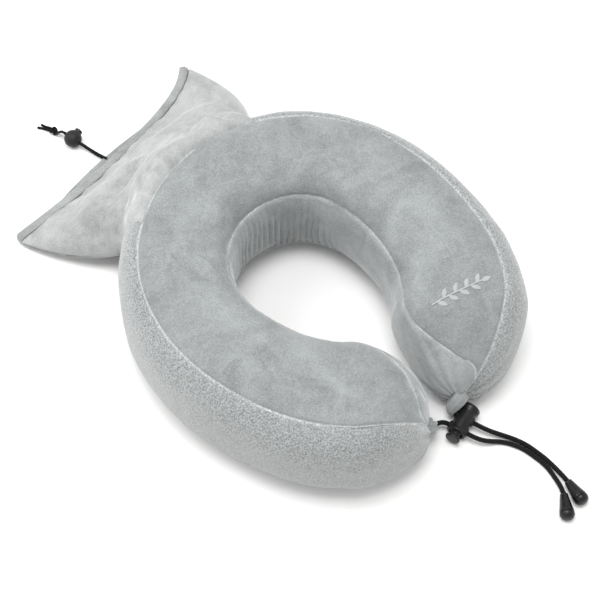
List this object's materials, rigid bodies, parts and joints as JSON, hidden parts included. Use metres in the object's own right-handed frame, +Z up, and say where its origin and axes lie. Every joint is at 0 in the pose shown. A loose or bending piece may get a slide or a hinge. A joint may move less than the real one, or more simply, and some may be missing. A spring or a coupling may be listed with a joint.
{
  "type": "u-shaped neck pillow",
  "caption": "U-shaped travel neck pillow in a velour cover, with a drawcord storage pouch sewn to its back and a cord lock closing the arms in front.",
  "frame": {"origin": "middle of the base of the pillow and its pouch, at floor level, measured without the free cords and what is on them", "axes": "+Z up; -Y towards the open ends of the arms, where the cords leave; +Y towards the mouth of the pouch at the back; +X to the right of someone looking from the arms' ends to the pouch"},
  "size_m": [0.2758, 0.5419, 0.0994],
  "materials": {
    "cover_velour": "short soft velour pile, cool grey",
    "wall_velour": "short soft velour pile, cool grey",
    "pouch_velour": "thin velour, cool grey",
    "foam": "open-cell memory foam, pale cream",
    "black_cord": "round braided polyester cord, matt black",
    "zip_cloth": "woven zip tape, grey",
    "lock_plastic": "moulded acetal, dark, satin",
    "ball_plastic": "moulded acetal, dark grey, matt",
    "spring_steel": "drawn spring wire",
    "zip_metal": "plated zinc, satin"
  },
  "bodies": {
    "pillow": {"cover_outer_wall": "wall_velour", "cover_top_panel": "cover_velour", "cover_inner_wall": "wall_velour", "cover_bottom_panel": "cover_velour", "foam_core": "foam", "cord_tab_right": "cover_velour", "cord_tab_left": "cover_velour", "front_cord_right": "black_cord", "front_cord_left": "black_cord", "bell_body_right": "lock_plastic", "bell_cap_right": "lock_plastic", "bell_body_left": "lock_plastic", "bell_cap_left": "lock_plastic", "pouch_seam_strip": "pouch_velour", "zip_tape": "zip_cloth", "zip_coil": "zip_cloth"},
    "front_lock": {"cord_lock_body": "lock_plastic", "cord_lock_spring": "spring_steel"},
    "front_plunger": {"cord_lock_plunger": "lock_plastic"},
    "pouch": {"pouch_upper_panel": "pouch_velour", "pouch_lower_panel": "pouch_velour", "pouch_hem_upper": "pouch_velour", "pouch_hem_lower": "pouch_velour", "drawcord_in_hem": "black_cord", "pouch_strand_left": "black_cord", "pouch_strand_right": "black_cord", "drawcord_knot": "black_cord"},
    "ball_lock": {"ball_lock_body": "ball_plastic", "ball_lock_spring": "spring_steel"},
    "ball_button": {"ball_lock_button": "ball_plastic"},
    "zip_slider": {"zip_slider": "zip_metal"},
    "zip_pull": {"zip_pull": "zip_metal"}
  },
  "joints": [
    {"name": "front_lock_slide", "type": "slide", "parent": "pillow", "child": "front_lock", "axis": [0.2419, -0.9703, 0], "range_m": [0, 0.006]},
    {"name": "front_plunger_press", "type": "slide", "parent": "front_lock", "child": "front_plunger", "axis": [0.9703, 0.2419, 0], "range_m": [0, 0.003], "stiffness_N_per_m": 900, "springref_m": -0.002, "deforming": ["cord_lock_spring"]},
    {"name": "pouch_fold", "type": "hinge", "parent": "pillow", "child": "pouch", "pos_m": [0, 0.1039, 0.074], "axis": [1, 0, 0], "range_deg": [0, 50]},
    {"name": "ball_lock_slide", "type": "slide", "parent": "pouch", "child": "ball_lock", "axis": [0.2048, -0.9633, -0.1736], "range_m": [0, 0.006]},
    {"name": "ball_button_press", "type": "slide", "parent": "ball_lock", "child": "ball_button", "axis": [-0.9643, -0.1681, -0.2048], "range_m": [0, 0.0025], "stiffness_N_per_m": 700, "springref_m": -0.002, "deforming": ["ball_lock_spring"]},
    {"name": "zip_travel", "type": "hinge", "parent": "pillow", "child": "zip_slider", "pos_m": [0, -0.0466, 0.02173], "axis": [0, 0, -1], "range_deg": [0, 52]},
    {"name": "zip_pull_swing", "type": "hinge", "parent": "zip_slider", "child": "zip_pull", "pos_m": [-0.06597, 0.08866, 0.02173], "axis": [0.8988, 0.4384, 0], "range_deg": [0, 75]}
  ]
}
